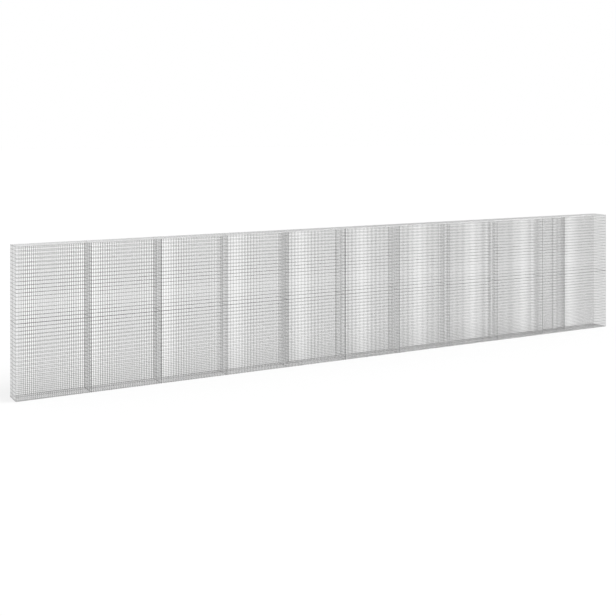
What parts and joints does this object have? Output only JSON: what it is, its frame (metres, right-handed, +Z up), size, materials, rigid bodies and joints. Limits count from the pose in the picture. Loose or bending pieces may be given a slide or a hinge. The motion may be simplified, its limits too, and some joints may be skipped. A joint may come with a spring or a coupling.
{
  "type": "gabion wall of empty wire mesh baskets with covers",
  "caption": "Long narrow gabion wall of empty galvanised wire mesh baskets with partitions, a mesh floor and mesh covers.",
  "frame": {"origin": "middle of the underside of the wall", "axes": "+X along the wall, +Y from the front to the back, +Z up"},
  "size_m": [10.4996, 0.31, 2.0157],
  "materials": {
    "panel_wire": "galvanised",
    "cross_wire": "galvanised",
    "cover_wire": "galvanised",
    "floor_wire": "galvanised"
  },
  "bodies": {
    "root": {"front_panel_01": "panel_wire", "front_panel_02": "panel_wire", "front_panel_03": "panel_wire", "front_panel_04": "panel_wire", "front_panel_05": "panel_wire", "front_panel_06": "panel_wire", "front_panel_07": "panel_wire", "front_panel_08": "panel_wire", "front_panel_09": "panel_wire", "front_panel_10": "panel_wire", "front_panel_11": "panel_wire", "back_panel_01": "panel_wire", "back_panel_02": "panel_wire", "back_panel_03": "panel_wire", "back_panel_04": "panel_wire", "back_panel_05": "panel_wire", "back_panel_06": "panel_wire", "back_panel_07": "panel_wire", "back_panel_08": "panel_wire", "back_panel_09": "panel_wire", "back_panel_10": "panel_wire", "back_panel_11": "panel_wire", "left_end_panel": "cross_wire", "right_end_panel": "cross_wire", "partition_01": "cross_wire", "partition_02": "cross_wire", "partition_03": "cross_wire", "partition_04": "cross_wire", "partition_05": "cross_wire", "partition_06": "cross_wire", "partition_07": "cross_wire", "partition_08": "cross_wire", "partition_09": "cross_wire", "partition_10": "cross_wire", "cover_01": "cover_wire", "cover_02": "cover_wire", "cover_03": "cover_wire", "cover_04": "cover_wire", "cover_05": "cover_wire", "cover_06": "cover_wire", "floor_left": "floor_wire", "floor_right": "floor_wire"}
  },
  "joints": []
}
